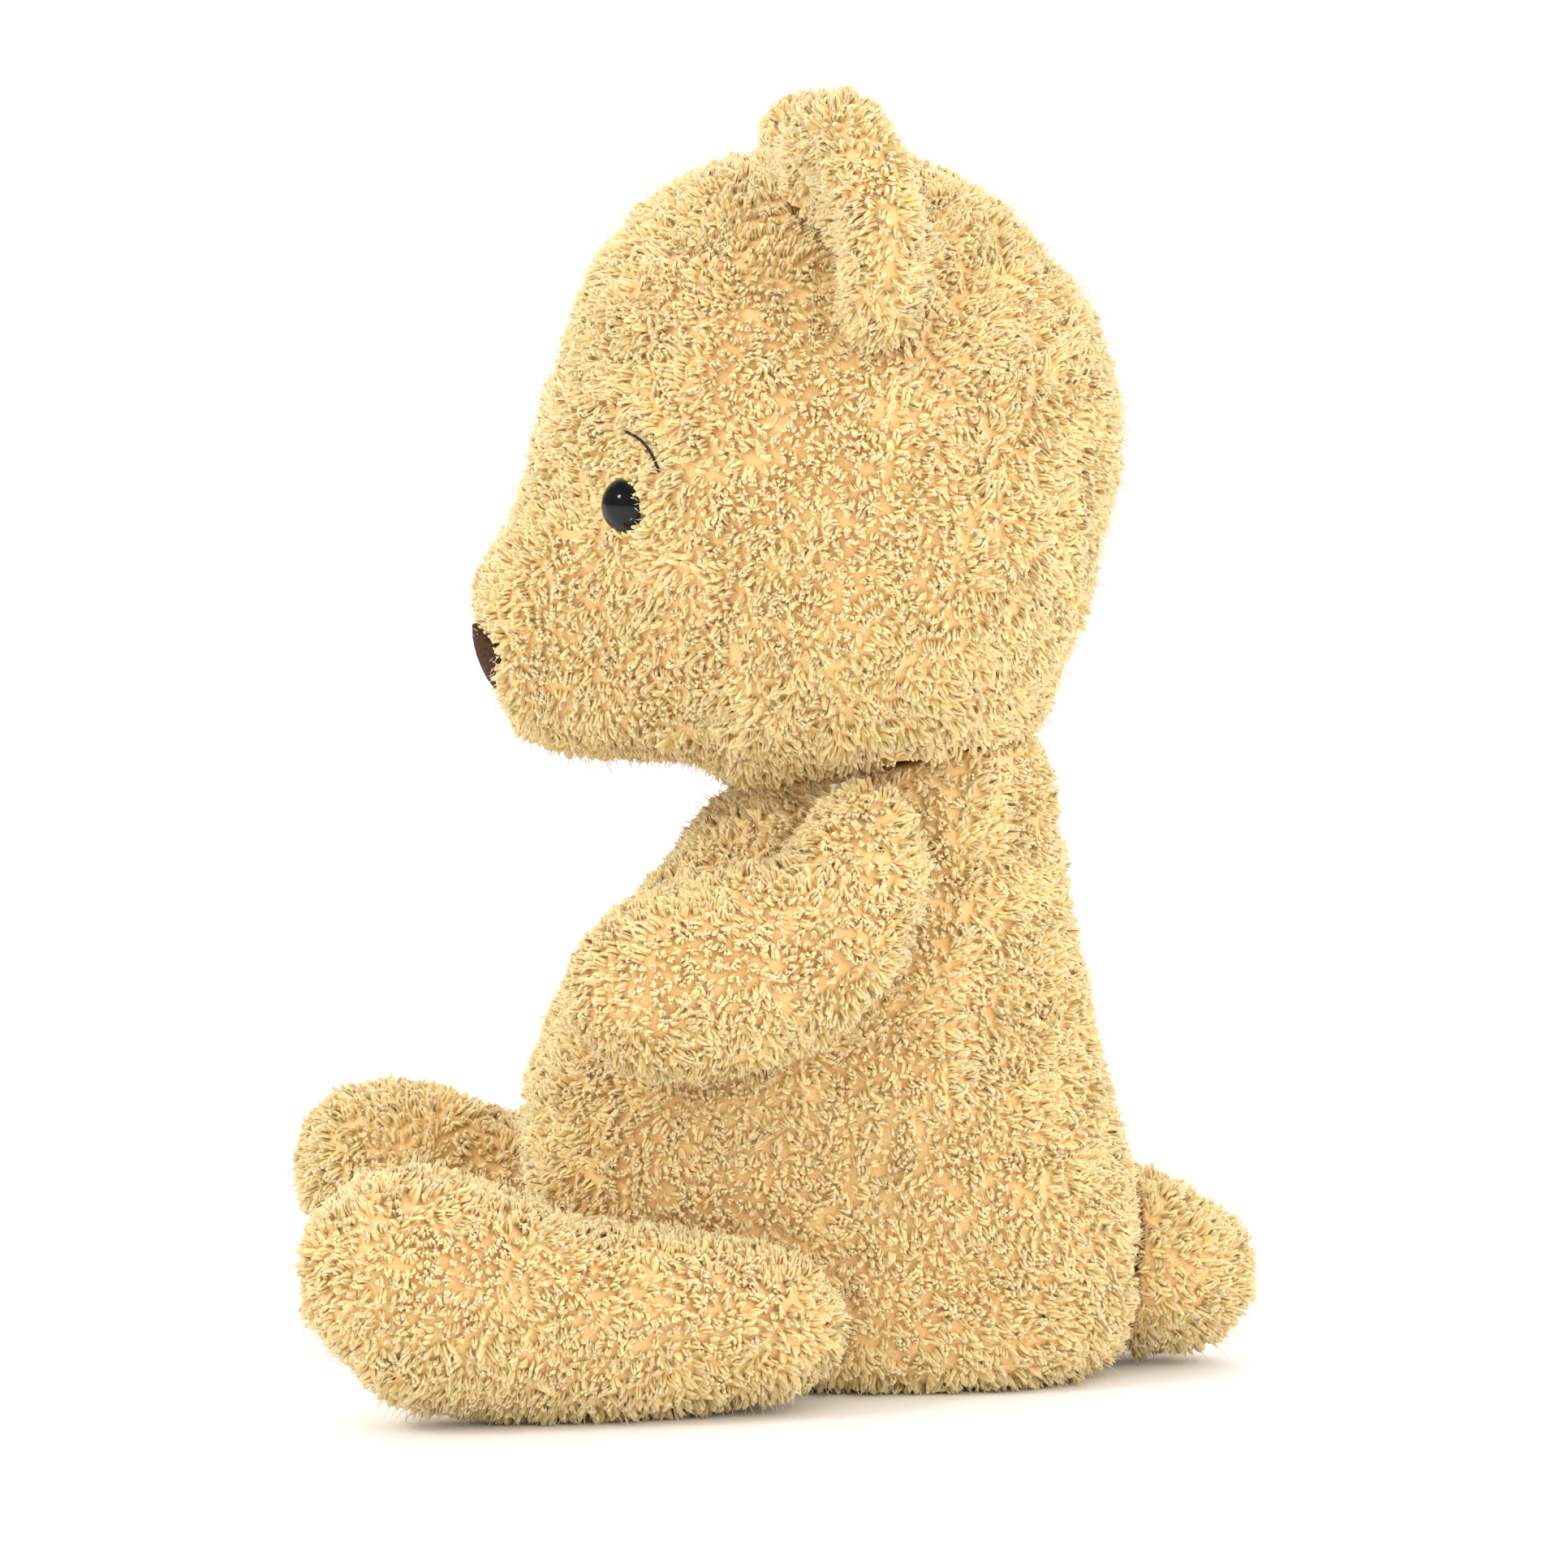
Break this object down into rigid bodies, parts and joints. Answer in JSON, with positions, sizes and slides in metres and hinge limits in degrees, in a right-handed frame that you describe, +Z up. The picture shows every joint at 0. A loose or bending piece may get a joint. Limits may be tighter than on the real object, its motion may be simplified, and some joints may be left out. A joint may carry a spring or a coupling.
{
  "type": "jointed teddy bear",
  "caption": "Seated soft-pile teddy bear whose head, arms and legs turn on disc-and-washer joints, with glossy domed eyes, a suede nose, round ears and a stub tail.",
  "frame": {"origin": "middle of the flat seat under the torso, where the seated bear rests", "axes": "+Z up along the seated body, -Y towards the bear's face and feet, +X towards the bear's left"},
  "size_m": [0.1662, 0.184, 0.2435],
  "materials": {
    "plush": "clumped soft pile",
    "polyester_fibre": "lofty fibre",
    "eye_black": "polished",
    "nose_suede": "short velour nap",
    "brow_thread": "twisted thread",
    "joint_plastic": "moulded",
    "bag_cloth": "plain weave",
    "plastic_beans": "pellets"
  },
  "bodies": {
    "torso": {"torso_cover": "plush", "torso_filling": "polyester_fibre", "seat_bean_bag": "bag_cloth", "bean_filling": "plastic_beans", "tail_cover": "plush", "tail_filling": "polyester_fibre", "neck_washer": "joint_plastic", "shoulder_washer_left": "joint_plastic", "shoulder_washer_right": "joint_plastic", "hip_washer_left": "joint_plastic", "hip_washer_right": "joint_plastic"},
    "head": {"head_cover": "plush", "head_filling": "polyester_fibre", "ear_left": "plush", "ear_right": "plush", "eye_left": "eye_black", "eye_right": "eye_black", "eye_washer_left": "joint_plastic", "eye_washer_right": "joint_plastic", "nose_patch": "nose_suede", "brow_stitch_left": "brow_thread", "brow_stitch_right": "brow_thread", "neck_joint_disc": "joint_plastic", "neck_lock_ring": "joint_plastic"},
    "arm_left": {"arm_cover_left": "plush", "arm_filling_left": "polyester_fibre", "shoulder_joint_disc_left": "joint_plastic", "shoulder_lock_ring_left": "joint_plastic"},
    "leg_left": {"leg_cover_left": "plush", "leg_filling_left": "polyester_fibre", "hip_joint_disc_left": "joint_plastic", "hip_lock_ring_left": "joint_plastic"},
    "arm_right": {"arm_cover_right": "plush", "arm_filling_right": "polyester_fibre", "shoulder_joint_disc_right": "joint_plastic", "shoulder_lock_ring_right": "joint_plastic"},
    "leg_right": {"leg_cover_right": "plush", "leg_filling_right": "polyester_fibre", "hip_joint_disc_right": "joint_plastic", "hip_lock_ring_right": "joint_plastic"}
  },
  "joints": [
    {"name": "neck_swivel", "type": "hinge", "parent": "torso", "child": "head", "pos_m": [0, 0.00003, 0.11845], "axis": [0, -0.134, 0.991], "range_deg": [-60, 60]},
    {"name": "shoulder_left", "type": "hinge", "parent": "torso", "child": "arm_left", "pos_m": [0.03204, -0.0085, 0.1007], "axis": [0.9703, 0, 0.2419], "range_deg": [-30, 22]},
    {"name": "shoulder_right", "type": "hinge", "parent": "torso", "child": "arm_right", "pos_m": [-0.03204, -0.0085, 0.1007], "axis": [0.9703, 0, -0.2419], "range_deg": [-43, 9]},
    {"name": "hip_left", "type": "hinge", "parent": "torso", "child": "leg_left", "pos_m": [0.04075, -0.0275, 0.0168], "axis": [1, 0, 0], "range_deg": [-8, 90]},
    {"name": "hip_right", "type": "hinge", "parent": "torso", "child": "leg_right", "pos_m": [-0.04075, -0.0275, 0.0168], "axis": [1, 0, 0], "range_deg": [-8, 90]}
  ]
}
